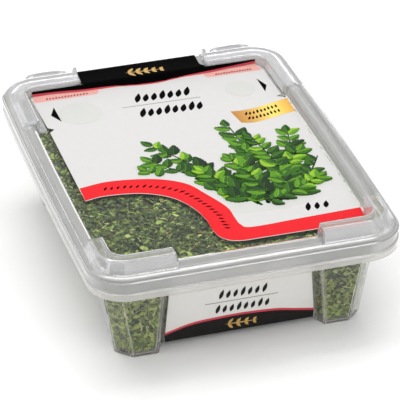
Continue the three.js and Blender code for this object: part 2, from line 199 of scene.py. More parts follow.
class Shader:
    """A material whose nodes are added one by one."""

    def __init__(self, name):
        self.material = bpy.data.materials.new(name)
        self.material.use_nodes = True
        self.tree = self.material.node_tree
        self.principled = self.tree.nodes["Principled BSDF"]
        self.output = self.tree.nodes["Material Output"]
        self.place = self.add("ShaderNodeTexCoord").outputs["Object"]

    def add(self, kind, **inputs):
        node = self.tree.nodes.new(kind)
        fill(node, **inputs)
        return node

    def link(self, source, target):
        self.tree.links.new(source, target)

    def noise(self, size, detail=3.0, roughness=0.5):
        """Noise with features of about the given size in millimetres."""
        node = self.add("ShaderNodeTexNoise", Scale=1.0 / (size * MM), Detail=detail, Roughness=roughness)
        self.link(self.place, node.inputs["Vector"])
        return node.outputs["Fac"]

    def colour(self, factor, stops):
        """Base colour from stops along the factor."""
        node = self.add("ShaderNodeValToRGB")
        elements = node.color_ramp.elements
        while len(elements) < len(stops):
            elements.new(0.5)
        for element, (position, colour) in zip(elements, stops):
            element.position = position
            element.color = colour
        self.link(factor, node.inputs["Fac"])
        self.link(node.outputs["Color"], self.principled.inputs["Base Color"])

    def roughness(self, factor, low, high):
        """Roughness from low to high along the factor."""
        node = self.add("ShaderNodeMapRange", To_Min=low, To_Max=high)
        self.link(factor, node.inputs["Value"])
        self.link(node.outputs["Result"], self.principled.inputs["Roughness"])

    def bump(self, height, distance, strength):
        """Bump of the given depth in millimetres."""
        node = self.add("ShaderNodeBump", Strength=strength, Distance=distance * MM)
        self.link(height, node.inputs["Height"])
        self.link(node.outputs["Normal"], self.principled.inputs["Normal"])


def plastic(name, code, glass, roughness, coat, haze, refraction):
    """See-through plastic that lets the lamps' light reach what is behind it."""
    s = Shader(name)
    colour = rgb(code)
    fill(s.principled, IOR=refraction, Transmission_Weight=glass, Coat_Weight=coat, Coat_Roughness=0.04)
    s.colour(s.noise(9.0, 4.0), [(0.35, shaded(colour, 0.94)), (0.65, colour)])
    s.roughness(s.noise(4.0, 4.0), roughness * 0.7, roughness * 1.3)
    s.bump(s.noise(26.0, 1.0), 0.04, 0.2)
    clear = s.add("ShaderNodeBsdfTransparent", Color=grey(1.0 - haze))
    path = s.add("ShaderNodeLightPath")
    mix = s.add("ShaderNodeMixShader")
    s.link(path.outputs["Is Shadow Ray"], mix.inputs["Fac"])
    s.link(s.principled.outputs["BSDF"], mix.inputs[1])
    s.link(clear.outputs["BSDF"], mix.inputs[2])
    s.link(mix.outputs["Shader"], s.output.inputs["Surface"])
    return s.material


def printed(name, code, shade=0.94, roughness=0.42, gloss=0.3, size=2.5):
    """Ink or film: slightly uneven colour under a satin surface."""
    s = Shader(name)
    colour = rgb(code)
    s.colour(s.noise(size, 4.0), [(0.35, shaded(colour, shade)), (0.65, colour)])
    s.roughness(s.noise(1.2), roughness * 0.85, roughness * 1.15)
    s.bump(s.noise(9.0, 2.0), 0.03, 0.25)
    fill(s.principled, Specular_IOR_Level=gloss)
    return s.material


def gold_ink():
    """Gold ribbon: brown at its left end, bright in the middle."""
    s = Shader("gold_ink")
    axis = s.add("ShaderNodeSeparateXYZ")
    s.link(s.place, axis.inputs["Vector"])
    across = s.add("ShaderNodeMapRange", From_Min=RIBBON_X[0] * MM, From_Max=RIBBON_X[1] * MM)
    s.link(axis.outputs["X"], across.inputs["Value"])
    s.colour(across.outputs["Result"], [(0.0, rgb("B97A32")), (0.25, rgb("D09A45")), (0.62, rgb("F6DC6C")),
                                        (0.8, rgb("F2CC5A")), (1.0, rgb("E5A945"))])
    s.roughness(s.noise(1.2), 0.32, 0.42)
    fill(s.principled, Specular_IOR_Level=0.3)
    return s.material


def leaf_material(name, dark, light):
    """Dry leaf: its tone varies along and across each scrap."""
    s = Shader(name)
    s.colour(s.noise(1.3, 6.0, 0.62), [(0.32, rgb(dark)), (0.68, rgb(light))])
    s.roughness(s.noise(0.8), 0.62, 0.88)
    s.bump(s.noise(0.35), 0.12, 0.5)
    fill(s.principled, Specular_IOR_Level=0.3)
    return s.material


# Meshes

# Angles in degrees above which an edge stays sharp
LID_ANGLE, TAB_ANGLE, TUB_ANGLE, PRINT_ANGLE, SCRAP_ANGLE, CORE_ANGLE = 40, 35, 30, 25, 50, 30


def new_mesh(name, points, faces):
    """A new object of points in millimetres."""
    mesh = bpy.data.meshes.new(name)
    mesh.from_pydata(to_frame(points).tolist(), [], faces)
    return add_object(name, mesh)


def piece(name, points, faces, materials, slot, nodes, angle, slots_of_faces=None):
    """A shown piece on the body, with smooth shading up to an angle in degrees."""
    obj = new_mesh(name, points, faces)
    finish_piece(obj, materials, slot, nodes, angle, slots_of_faces)
    return obj


def finish_piece(obj, materials, slot, nodes, angle, slots_of_faces):
    obj.data.materials.clear()
    for material in materials:
        obj.data.materials.append(material)
    if slots_of_faces is not None:
        obj.data.polygons.foreach_set("material_index", slots_of_faces)
    obj.data.shade_smooth()
    obj.data.set_sharp_from_angle(angle=math.radians(angle))
    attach(obj, "root")
    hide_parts(*nodes)


def loft_faces(rings, count, low_cap=True):
    """Quads and caps of rings of equal count, each anticlockwise from above and going up or inwards."""
    faces = []
    for start in range(0, (rings - 1) * count, count):
        for i in range(count):
            j = (i + 1) % count
            faces.append((start + i, start + j, start + count + j, start + count + i))
    if low_cap:
        faces.append(tuple(range(count - 1, -1, -1)))
    return faces + [tuple(range((rings - 1) * count, rings * count))]


def lofted(name, rings, material, slot, node, angle):
    """A closed piece through rings of equal count."""
    faces = loft_faces(len(rings), len(rings[0]))
    piece(name, np.concatenate(rings), faces, [material], slot, [node], angle)


def bake_modifiers(obj):
    graph = bpy.context.evaluated_depsgraph_get()
    mesh = bpy.data.meshes.new_from_object(obj.evaluated_get(graph))
    old = obj.data
    obj.modifiers.clear()
    obj.data = mesh
    bpy.data.meshes.remove(old)


def solidify(obj, thickness):
    modifier = obj.modifiers.new("thickness", "SOLIDIFY")
    modifier.thickness = thickness * MM
    modifier.offset = -1.0
    modifier.use_even_offset = True
    bake_modifiers(obj)


# Lid outline: stations that every ring of the lid, flange and neck shares

# Spacing of the stations along a straight side, and where a ridge begins
STATION_STEP, RIDGE_STEP = 1.6, 0.17
# Half lengths of the straight stretches along the sides and the ends, and of the sides' bow
SIDE_STRETCH, END_STRETCH, BOW_STRETCH = 53.2, 37.4, 54.5
CORNER_STATIONS = 15


def straight_places(limit, ends):
    """Coordinates along a straight side, dense where a ridge begins."""
    places = set(np.round(np.linspace(-limit, limit, int(limit / STATION_STEP)), 3))
    for end, sign in ends:
        start = end + RIDGE_END_START
        near = sign * np.arange(start - 0.3, start + RIDGE_END_RUN + 0.5, RIDGE_STEP)
        places = {p for p in places if not near.min() - 0.1 < p < near.max() + 0.1}
        places |= set(np.round(near, 3))
    return np.array(sorted(places))


# Columns of STATIONS: multiples of (half - radius) and of radius, own offsets, bow outwards, ridge
# weight, and whether the station is at the back
MIDDLE, ROUND, OFFSET_X, OFFSET_Y, BOW, WEIGHT, AT_BACK = slice(0, 2), slice(2, 4), 4, 5, 6, 7, 8


def make_stations():
    """Stations anticlockwise round the lid, with more of them where a ridge begins."""
    rows = []
    side = straight_places(SIDE_STRETCH, [(FRONT_RIDGE["end_y"], -1), (BACK_RIDGE["end_y"], 1)])

    def ridge_weight(distance, end):
        return float(smooth((distance - end - RIDGE_END_START) / RIDGE_END_RUN))

    def add_side(sign):
        for y in side[::sign]:
            ridge = BACK_RIDGE if y > 0 else FRONT_RIDGE
            bow = sign * SIDE_BOW * (1 - (y / BOW_STRETCH) ** 2)
            rows.append((sign, 0, sign, 0, 0, y, bow, ridge_weight(abs(y), ridge["end_y"]), y > 0))

    def add_end(sign, ridge):
        places = straight_places(END_STRETCH, [(ridge["end_x"], -1), (ridge["end_x"], 1)])
        for x in places[::-sign]:
            rows.append((0, sign, 0, sign, x, 0, 0, ridge_weight(abs(x), ridge["end_x"]), sign > 0))

    def add_corner(sx, sy, start):
        for angle in np.radians(np.linspace(start, start + 90, CORNER_STATIONS)):
            rows.append((sx, sy, math.cos(angle), math.sin(angle), 0, 0, 0, 1.0, sy > 0))

    for sign, ridge in ((1, BACK_RIDGE), (-1, FRONT_RIDGE)):
        add_side(sign)
        add_corner(sign, sign, 90 - 90 * sign)
        add_end(sign, ridge)
        add_corner(-sign, sign, 180 - 90 * sign)
    return np.array(rows, float)


STATIONS = make_stations()


def lid_ring(half_x, half_y, radius, z):
    """Ring through all stations; the sizes may be one value or one per station."""
    c, a = STATIONS[:, MIDDLE], STATIONS[:, ROUND]
    x = c[:, 0] * (half_x - radius) + a[:, 0] * radius + STATIONS[:, OFFSET_X] + STATIONS[:, BOW]
    y = c[:, 1] * (half_y - radius) + a[:, 1] * radius + STATIONS[:, OFFSET_Y]
    return np.stack([x, y, np.broadcast_to(z, x.shape)], 1)


# Half sizes and corner radius of the lid's three outlines
OUTLINES = {
    "outer": (LID_HALF_X, LID_HALF_Y, LID_CORNER),
    "recess": (RECESS_X, RECESS_Y, RECESS_CORNER),
    "ridge": (RIDGE_X, RIDGE_Y, RIDGE_CORNER),
}


def sized(kind, grow):
    """Sizes of an outline grown by some millimetres."""
    return [value + grow for value in OUTLINES[kind]]


# Rings of the two profiles below that belong to the skirt's ledges, the ridges and the flat panel
LEDGE_RINGS = (3, 4, 7, 8)
RIDGE_RINGS = slice(13, 24)
RIDGE_FLAT = 19
PANEL_RINGS = slice(25, 27)
# Ridge weight above which a face counts as the ridge's
RIDGED = 0.4


def rings_of(kind, *pairs):
    return [(kind, grow, z) for grow, z in pairs]


def plain_profile():
    """Outline, growth and height of every ring between the ridges, from the skirt's foot to the panel."""
    return rings_of(
        "outer", (-0.06, SKIRT_BOTTOM), (0, SKIRT_BOTTOM + 0.15), (0, SKIRT_BOTTOM + 0.9),
        (-0.42, SKIRT_BOTTOM + 1.05), (-0.42, 35.3), (0, 35.65), (0, SKIRT_TOP), (-0.5, SKIRT_TOP + 0.18),
        (-0.56, 36.85), (-0.72, 37.1), (-1.0, 37.22), (-1.1, 37.255), (-1.8, 37.48), (-1.9, BEAD_TOP),
        (-2.2, 37.42), (-2.55, 37.05), (-2.85, 36.62), (-3.15, 36.55), (-3.5, 36.9), (-3.75, RIM_TOP),
    ) + rings_of(
        "recess", (1.5, RIM_TOP), (1.3, 36.98), (0.2, 36.75), (-0.18, 36.3), (-0.75, 34.6), (-1.0, 34.28),
        (-1.45, PANEL_TOP), (-3.0, PANEL_TOP),
    )


def ridge_profile(ridge):
    """The same for the rings through a ridge."""
    top = ridge["top"]
    slope = RIDGE_SLOPE * (top - RIM_TOP) / (FRONT_RIDGE["top"] - RIM_TOP)
    edge = RIDGE_WIDTH
    return plain_profile()[:12] + rings_of("outer", (-1.4, 37.36), (-ridge["bead"], 37.42)) + rings_of(
        "ridge", (edge + 0.9 * slope, lerp(RIM_TOP + 0.25, top - 0.6, 0.1)),
        (edge + 0.5 * slope, lerp(RIM_TOP, top - 0.6, 0.5)), (edge + 0.1, top - 0.7),
        (edge - 0.1, top - 0.36), (edge - 0.9, top - 0.06), (edge - 1.1, top), (1.3, top), (0.8, top),
        (0.42, top - 0.08), (0.12, top - 0.4), (0.0, 34.75), (-0.12, 34.36), (-0.45, PANEL_TOP),
        (-2.4, PANEL_TOP),
    )


def ring_sizes(kind, grow, z):
    return np.array([*sized(kind, grow), z])


def make_lid(milky, window, frosted, flat):
    """The lid's shell: milky rim and skirt, clearer panel, frosted stacking ridges with clearer tops."""
    weight, at_back = STATIONS[:, WEIGHT], STATIONS[:, AT_BACK] > 0
    under_strap = (STATIONS[:, 0] == 0) & at_back
    dip = STRAP_DIP * (1 - weight) * under_strap
    left_side = np.clip(-STATIONS[:, 2], 0, 1)
    rings = []
    profiles = zip(plain_profile(), ridge_profile(FRONT_RIDGE), ridge_profile(BACK_RIDGE))
    for k, (plain, front, back) in enumerate(profiles):
        low = ring_sizes(*plain)
        ridged = np.where(at_back[:, None], ring_sizes(*back), ring_sizes(*front))
        sizes = low + weight[:, None] * (ridged - low)
        if k in LEDGE_RINGS:
            sizes[:, :3] += LEFT_LEDGE * left_side[:, None]
        sizes[:, 3] -= dip * np.clip((sizes[:, 3] - SKIRT_TOP) / (RIM_TOP - SKIRT_TOP), 0, 1)
        rings.append(lid_ring(*sizes.T))
    count = len(STATIONS)
    ridged = weight > RIDGED
    zones = np.zeros((len(rings) - 1, count), int)
    zones[RIDGE_RINGS] = np.where(ridged, 2, 0)
    zones[RIDGE_FLAT] = np.where(ridged, np.where(at_back, 2, 3), 0)
    zones[PANEL_RINGS] = np.where(at_back & ridged, 2, 1)
    lid = piece("lid_shell", np.concatenate(rings), loft_faces(len(rings), count, False),
                [milky, window, frosted, flat], "translucent_plastic", ["lid"], LID_ANGLE,
                [*zones.ravel(), 1])
    solidify(lid, SKIN)
    lid.data.set_sharp_from_angle(angle=math.radians(LID_ANGLE))


# Points round a lift tab
TAB_POINTS = 64


def polar_ring(outline, centre, z):
    """An outline sampled at equal angles about a centre."""
    outline = np.asarray(outline, float)
    angles = np.arctan2(outline[:, 1] - centre[1], outline[:, 0] - centre[0])
    radii = np.hypot(outline[:, 1] - centre[1], outline[:, 0] - centre[0])
    wanted = np.linspace(-math.pi, math.pi, TAB_POINTS, endpoint=False)
    reach = np.interp(wanted, np.sort(angles), radii[np.argsort(angles)], period=2 * math.pi)
    points = np.stack([centre[0] + reach * np.cos(wanted), centre[1] + reach * np.sin(wanted)], 1)
    return at_height(points, z)


def tab_outline(inset):
    """Rounded tab seen from above, about its middle, in fine steps."""
    half, depth, corner = TAB_HALF_WIDTH - inset, TAB_REACH - inset, TAB_CORNER - inset
    arc = np.radians(np.linspace(0, 90, 9))
    right = np.stack([half - corner + corner * np.cos(arc), depth - corner + corner * np.sin(arc)], 1)
    left = right[::-1] * (-1, 1)
    back = np.stack([np.linspace(-half, half, 25), np.full(25, -TAB_ROOT)], 1)
    sides = [(half, y) for y in np.linspace(-0.4, depth - corner - 0.2, 5)]
    far = [(x, depth) for x in np.linspace(half - corner - 0.3, corner - half + 0.3, 15)]
    return np.array([*back, *sides, *right, *far, *left, *[(-x, y) for x, y in sides[::-1]]])


def make_tabs(material):
    centre = (0.0, TAB_REACH / 2)

    def oval(half_x, half_y, z):
        return polar_ring(ellipse(0, DIMPLE_Y, half_x, half_y, 60), centre, z)

    bottom = TAB_TOP - TAB_THICKNESS
    edge = [(0.35, bottom), (0.05, bottom + 0.2), (0.0, bottom + 0.4), (0.0, TAB_TOP - 0.35),
            (0.1, TAB_TOP - 0.1), (0.35, TAB_TOP)]
    rings = [
        *[polar_ring(tab_outline(inset), centre, z) for inset, z in edge],
        oval(5.0, 1.4, TAB_TOP), oval(4.8, 1.25, TAB_TOP - 0.12), oval(4.4, 0.95, TAB_TOP - 0.55),
        oval(3.9, 0.6, TAB_TOP - 0.65),
    ]
    for name, x in zip(("left", "right"), TAB_CENTRES):
        lofted(f"lift_tab_{name}", np.array(rings) + (x, LID_HALF_Y - 0.1, 0), material,
               "translucent_plastic", "lid", TAB_ANGLE)


def make_fins(material):
    """Small upright fins at the inner ends of the back ridges."""
    profile = np.array([(60.4, 36.7), (65.7, 36.7), (65.5, 37.6), (64.9, 39.6), (64.6, 40.1), (64.25, 40.2),
                        (63.9, 40.0), (62.6, 38.4), (60.9, 37.2)])
    middle = profile.mean(0)
    for name, x in (("left", -FIN_X), ("right", FIN_X)):
        rings = []
        for across, size in ((-0.6, 0.9), (-0.5, 0.97), (-0.35, 1.0), (0.35, 1.0), (0.5, 0.97), (0.6, 0.9)):
            shape = middle + (profile - middle) * size
            rings.append(np.stack([np.full(len(shape), x + across), shape[:, 0], shape[:, 1]], 1))
        lofted(f"back_fin_{name}", rings, material, "translucent_plastic", "lid", TAB_ANGLE)


# Tub


def tub_corners(height, wall):
    """The tub's outline at a height, moved inwards by a wall: posts, chamfers and recessed panels."""
    t = height / WALL_TOP
    x, y = lerp(FOOT_X, TOP_X, t) - wall, lerp(FOOT_Y, TOP_Y, t) - wall
    cut = CHAMFER - wall * (2 - math.sqrt(2))
    post_x, post_y = lerp(*POST_X, t) + wall, lerp(*POST_Y, t) + wall
    quadrant = np.array([
        (post_x - RECESS_RUN, y - RECESS_DEPTH), (post_x, y), (x - cut, y), (x, y - cut), (x, post_y),
        (x - RECESS_DEPTH, post_y - RECESS_RUN),
    ])
    return np.concatenate([quadrant * (1, -1), (quadrant * (1, 1))[::-1], quadrant * (-1, 1),
                           (quadrant * (-1, -1))[::-1]])


# Steps of the curve that rounds a corner
CORNER_STEPS = 4


def round_corners(corners, radius):
    """Every corner of a closed outline turned into a short smooth curve."""
    before, after = np.roll(corners, 1, 0) - corners, np.roll(corners, -1, 0) - corners
    long_before, long_after = np.linalg.norm(before, axis=1), np.linalg.norm(after, axis=1)
    before, after = before / long_before[:, None], after / long_after[:, None]
    half_angle = 0.5 * np.arccos(np.clip((before * after).sum(1), -1, 1))
    reach = np.minimum(radius / np.tan(half_angle), 0.45 * np.minimum(long_before, long_after))[:, None]
    start, end = corners + before * reach, corners + after * reach
    t = np.linspace(0, 1, CORNER_STEPS + 1)[None, :, None]
    curve = (1 - t) ** 2 * start[:, None] + 2 * t * (1 - t) * corners[:, None] + t ** 2 * end[:, None]
    return curve.reshape(-1, 2)


def tub_ring(height, wall, z=None):
    return at_height(round_corners(tub_corners(height, wall), EDGE_ROUND), height if z is None else z)


def solid(rings):
    """Closed helper solid for joining and cutting."""
    return new_mesh("solid", np.concatenate(rings), loft_faces(len(rings), len(rings[0])))


# Half lengths of the cutters under the floor, past the tub's edges, and the rounding of their corners
CUTTER_X, CUTTER_Y, CUTTER_ROUND = 60, 70, 0.8


def box_solid(half_x, half_y, z0, z1):
    base = np.array([(-half_x, -half_y), (half_x, -half_y), (half_x, half_y), (-half_x, half_y)], float)
    outline = round_corners(base, CUTTER_ROUND)
    return solid([at_height(outline, z) for z in (z0, z1)])


def combine(target, other, operation):
    modifier = target.modifiers.new("combine", "BOOLEAN")
    modifier.operation = operation
    modifier.solver = "MANIFOLD"
    modifier.object = other
    bake_modifiers(target)
    bpy.data.objects.remove(other)


def under_floor(grow):
    """Helper solids under the floor between the feet, and the arch under each corner's chamfer."""
    reach_x, reach_y = POST_X[0] + grow - RECESS_RUN, POST_Y[0] + grow - RECESS_RUN
    top = FLOOR_RISE + grow
    yield box_solid(reach_x, CUTTER_Y, -1, top)
    yield box_solid(CUTTER_X, reach_y, -1, top)
    half = CHAMFER * 0.45 + grow
    arc = np.linspace(0, math.pi, 9)
    arch = np.stack([half * np.cos(arc), (ARCH_HEIGHT + grow) * np.sin(arc) ** 0.6], 1)
    arch = np.array([(-half, -1.0), (half, -1.0), *arch])
    for sx, sy in ((-1, -1), (-1, 1), (1, -1), (1, 1)):
        across = np.array([-sy, sx, 0]) / math.sqrt(2)
        outward = np.array([sx, sy, 0]) / math.sqrt(2)
        middle = np.array([sx * (FOOT_X - CHAMFER / 2), sy * (FOOT_Y - CHAMFER / 2), 0])
        flat = arch[:, :1] * across + arch[:, 1:] * np.array([0, 0, 1.0])
        yield solid([middle + outward * depth + flat for depth in (4.0, -1.4 - grow)])


def tub_zones(mesh):
    """Material number of every face: 1 for the flange, the walls' edges and the feet's ends, else 0. The
    hazier plastic is partly real haze of the thicker flange and bends, and partly a painted highlight that
    lightens the walls' edges and the feet's ends.
    """
    count = len(mesh.polygons)
    centres, normals = np.empty(3 * count), np.empty(3 * count)
    mesh.polygons.foreach_get("center", centres)
    mesh.polygons.foreach_get("normal", normals)
    centres = (centres.reshape(-1, 3) - to_frame((0, 0, 0))) / MM
    normals = normals.reshape(-1, 3)
    angles = np.degrees(np.arctan2(np.abs(normals[:, 1]), np.abs(normals[:, 0])))
    side = math.degrees(math.atan2(RECESS_RUN, RECESS_DEPTH))
    facets = np.array([0.0, side, 45.0, 90.0 - side, 90.0])
    off = np.min(np.abs(angles[:, None] - facets), 1)
    upright = np.abs(normals[:, 2]) < 0.6
    # The walls' edges and the feet take the hazier plastic also as a painted highlight, lightening lines
    # that would come out dark.
    edge = upright & (off > 6.0) & (centres[:, 2] < FLANGE_BOTTOM)
    flange = (centres[:, 2] > FLANGE_BOTTOM - 0.2) & (centres[:, 2] < FLANGE_TOP + 0.2)
    outside = (np.abs(centres[:, 0]) > TOP_X + 0.2) | (np.abs(centres[:, 1]) > TOP_Y + 0.2)
    foot = centres[:, 2] < TUB_WALL + 0.5
    return (edge | foot | (flange & outside)).astype(int)


def make_tub(clear, haze_and_highlight):
    foot = [(0.0, 0.45), (0.12, 0.14), (0.45, 0.0)]
    tub = solid([*[tub_ring(z, inset) for z, inset in foot], tub_ring(WALL_TOP, 0),
                 tub_ring(WALL_TOP, 0, FLANGE_TOP)])
    for cutter in under_floor(0):
        combine(tub, cutter, "DIFFERENCE")

    def outer(inset, z):
        return lid_ring(*sized("outer", -inset), z)

    def neck(inset, z):
        return lid_ring(NECK_X - inset, NECK_Y - inset, NECK_CORNER - inset, z)

    lip = solid([outer(0.55, FLANGE_BOTTOM), outer(0.25, FLANGE_BOTTOM + 0.3),
                 outer(0.25, FLANGE_TOP - 0.3), outer(0.5, FLANGE_TOP)])
    combine(lip, solid([outer(1.2, FLANGE_BOTTOM - 1), outer(1.2, FLANGE_TOP - 1.1),
                        outer(1.6, FLANGE_TOP - TUB_WALL)]), "DIFFERENCE")
    combine(tub, lip, "UNION")
    combine(tub, solid([neck(0, FLANGE_TOP - 0.5), neck(0, NECK_TOP - 0.3), neck(0.25, NECK_TOP)]), "UNION")
    inside = solid([*[tub_ring(z, TUB_WALL + inset, z + TUB_WALL) for z, inset in foot],
                    tub_ring(WALL_TOP, TUB_WALL), tub_ring(WALL_TOP, TUB_WALL, FLANGE_TOP + 0.1)])
    for cutter in under_floor(TUB_WALL):
        combine(inside, cutter, "DIFFERENCE")
    combine(tub, inside, "DIFFERENCE")
    combine(tub, solid([neck(1.0, FLANGE_TOP), neck(1.0, NECK_TOP + 1)]), "DIFFERENCE")
    tub.name = tub.data.name = "tub_shell"
    finish_piece(tub, [clear, haze_and_highlight], "clear_plastic", ["tub"], TUB_ANGLE, tub_zones(tub.data))


# Labels


def curve_through(points, per_span):
    """Smooth line through the given points."""
    p = np.asarray(points, float)
    p = np.vstack([2 * p[0] - p[1], p, 2 * p[-1] - p[-2]])
    t = np.linspace(0, 1, per_span, endpoint=False)[:, None]
    line = []
    for a, b, c, d in zip(p[:-3], p[1:-2], p[2:-1], p[3:]):
        line.append(0.5 * (2 * b + (c - a) * t + (2 * a - 5 * b + 4 * c - d) * t ** 2
                           + (3 * b - a - 3 * c + d) * t ** 3))
    return np.vstack([*line, p[-2:-1]])


# The film's way up and over the back rim: y and z of its underside
FILM_PATH = curve_through([
    (-60.0, FILM_BASE), (0.0, FILM_BASE), (50.0, FILM_BASE), (56.6, FILM_BASE), (57.2, FILM_BASE + 0.02),
    (57.62, FILM_BASE + 0.35), (57.85, 35.2), (58.2, 36.0), (58.5, 36.35), (59.1, 36.48), (61.0, 36.5),
    (64.0, 36.62), (66.2, 36.78), (67.0, 36.65), (67.5, 36.45), (67.9, 36.1), (68.12, 35.7), (68.14, 34.0),
    (68.14, SEAL_BOTTOM),
], 6)


def way_along(line):
    """Length from the start of a line to each of its points."""
    return np.concatenate([[0], np.cumsum(np.linalg.norm(np.diff(line, axis=0), axis=1))])


# Lengths along the path: to each of its points, to the wall's foot and from there to the end. The foot
# is looked up among the first points, which only lead towards the back
PATH_LENGTH = way_along(FILM_PATH)
FORWARD = slice(0, 60)
FOOT_LENGTH = np.interp(WALL_FOOT_Y, FILM_PATH[FORWARD, 0], PATH_LENGTH[FORWARD])
PATH_END = PATH_LENGTH[-1] - FOOT_LENGTH


def on_path(s):
    """The path's y and z at the lengths s."""
    return np.stack([np.interp(s, PATH_LENGTH, FILM_PATH[:, axis]) for axis in (0, 1)])


def on_top(places, lift):
    """Places (x, s) on the top film; s is the way from the wall's foot, negative on the panel."""
    s, step = places[:, 1] + FOOT_LENGTH, 0.15
    y, z = on_path(s)
    dy, dz = on_path(s + step) - on_path(s - step)
    size = np.hypot(dy, dz) + 1e-9
    return np.stack([places[:, 0], y - lift * dz / size, z + lift * dy / size], 1)


def on_panel(points, lift):
    """Points (x, y) on the flat of the top film."""
    return at_height(np.asarray(points, float), FILM_BASE + lift)


def on_front(points, lift):
    """Points (x, z) on the tub's recessed front panel."""
    points = np.asarray(points, float)
    drop = (TOP_Y - FOOT_Y) / WALL_TOP
    y = -(FOOT_Y - RECESS_DEPTH + drop * points[:, 1] + LABEL_GAP + lift)
    return np.column_stack([points[:, 0], y, points[:, 1]])


class Print:
    """Thin closed patches of one colour, gathered into one piece."""

    def __init__(self, name, material, slot, node):
        self.name, self.material, self.slot, self.node = name, material, slot, node
        self.points, self.faces, self.total = [], [], 0

    def add(self, points, faces):
        self.points.append(points)
        self.faces += [tuple(i + self.total for i in face) for face in faces]
        self.total += len(points)

    def patch(self, outline, surface, base=INK_BASE, thickness=INK_DEPTH):
        """A flat patch inside one outline, anticlockwise as seen from outside."""
        self.add(np.concatenate([surface(outline, base), surface(outline, base + thickness)]),
                 loft_faces(2, len(outline)))
        return self

    def band(self, low, high, rows, surface, base=INK_BASE, thickness=INK_DEPTH):
        """A patch between two lines of equal count, in rows that follow the surface."""
        low, high = np.asarray(low, float), np.asarray(high, float)
        t = np.linspace(0, 1, rows + 1)[:, None, None]
        grid = (low + (high - low) * t).reshape(-1, 2)
        n, m = len(low), (rows + 1) * len(low)
        points = np.concatenate([surface(grid, base), surface(grid, base + thickness)])
        faces = []
        for r in range(rows):
            for i in range(n - 1):
                a = r * n + i
                faces.append((m + a, m + a + 1, m + a + n + 1, m + a + n))
                faces.append((a, a + n, a + n + 1, a + 1))
        border = [*range(n), *range(2 * n - 1, m, n), *range(m - 2, m - n - 1, -1),
                  *range(m - 2 * n, 0, -n)]
        for a, b in zip(border, border[1:] + border[:1]):
            faces.append((a, b, m + b, m + a))
        self.add(points, faces)
        return self

    def make(self):
        points = np.concatenate(self.points)
        piece(self.name, points, self.faces, [self.material], self.slot, [self.node], PRINT_ANGLE)


def turned(points, angle, x, y):
    c, s = math.cos(angle), math.sin(angle)
    return np.asarray(points) @ np.array([[c, s], [-s, c]]) + (x, y)


# Edges of the red band, as x and y on the panel, and the red line at the wall's foot, as x and s
SWOOSH_TOP = [(-39.1, -5.6), (-28.7, -4.2), (-15.1, -6.9), (-6.1, -12.6), (-1.8, -20.6), (2.3, -30.6),
              (2.8, -37.3), (3.3, -42.0), (6.4, -44.6), (22.2, -44.1), (42.3, -43.4)]
SWOOSH_LOW = [(-39.3, -13.6), (-32.5, -12.5), (-21.5, -14.2), (-13.0, -19.4), (-8.1, -27.5), (-6.1, -36.0),
              (-5.9, -42.6), (-4.6, -47.8), (-0.1, -51.0), (9.9, -51.4), (41.4, -51.6)]
RED_LINE = [(-39.4, 0.9), (-30.0, 0.6), (-21.5, 0.1), (-10.4, -0.3), (-2.8, -1.8), (4.6, -2.1),
            (12.0, -0.6), (19.7, 0.0), (30.0, 0.6), (39.6, 1.2)]
# Ends of the film's line along the foot of the back wall
WALL_ENDS = np.array([(-39.4, WALL_FOOT_Y), (39.6, WALL_FOOT_Y)])


def film_outline():
    """Edge of the flat film, anticlockwise: window, front right corner, right notch, back, left notch."""
    window = curve_through(SWOOSH_LOW, 6) - (0, 0.25)
    arc = np.radians(np.linspace(0, 90, 7))
    back_right = WALL_ENDS[1] + np.stack([2.2 * np.cos(arc) - 0.6, 4.0 * np.sin(arc) - 4.0], 1)
    back_left = WALL_ENDS[0] + np.stack([-0.6 * np.sin(arc), 0.6 * np.cos(arc) - 0.6], 1)
    return np.array([
        *window, (41.5, -51.85), (41.5, -46.0), (42.6, -45.2), (42.6, 32.6), (39.7, 34.4), (41.6, 35.4),
        *back_right, *back_left, (-39.4, 36.0), (-37.5, 34.4), (-39.4, 32.6),
    ])


def leaf_shape(length, width):
    """Pointed leaf along +X, from its root at the origin."""
    u = np.linspace(0, 1, 7)
    half = 0.5 * width * np.sin(math.pi * u ** 0.85)
    low, high = np.stack([u * length, -half], 1), np.stack([u * length, half], 1)
    return np.concatenate([low, high[-2:0:-1]])


def leaf_row(target, line, count, length, width, surface, lean=0.35):
    """A row of small printed leaves standing on a line and leaning a little, each third one longer."""
    line = np.asarray(line, float)
    way = way_along(line)

    def at(length):
        return np.interp(length, way, line[:, 0]), np.interp(length, way, line[:, 1])

    for i in range(count):
        middle = way[-1] * (i + 0.5) / count
        ahead, behind = at(middle + 0.1), at(middle - 0.1)
        heading = math.atan2(ahead[1] - behind[1], ahead[0] - behind[0])
        leaf = leaf_shape(length * (1.0 if i % 3 else 1.2), width)
        target.patch(turned(leaf, heading + math.pi / 2 - lean, *at(middle)), surface, INK_BASE, MARK_DEPTH)


def twig(target, start, end, pairs, length, surface):
    """A small straight printed twig with pairs of leaves."""
    start, end = np.asarray(start, float), np.asarray(end, float)
    heading = math.atan2(*(end - start)[::-1])
    stem = leaf_shape(np.linalg.norm(end - start), 0.5)
    target.patch(turned(stem, heading, *start), surface, INK_BASE, MARK_DEPTH)
    for i in range(pairs):
        x, y = lerp(start, end, (i + 0.4) / pairs)
        for side in (-1, 1):
            leaf = leaf_shape(length * (1 - 0.12 * i), 0.38 * length)
            target.patch(turned(leaf, heading + side * 0.85, x, y), surface, INK_BASE, TWIG_LEAF_DEPTH)


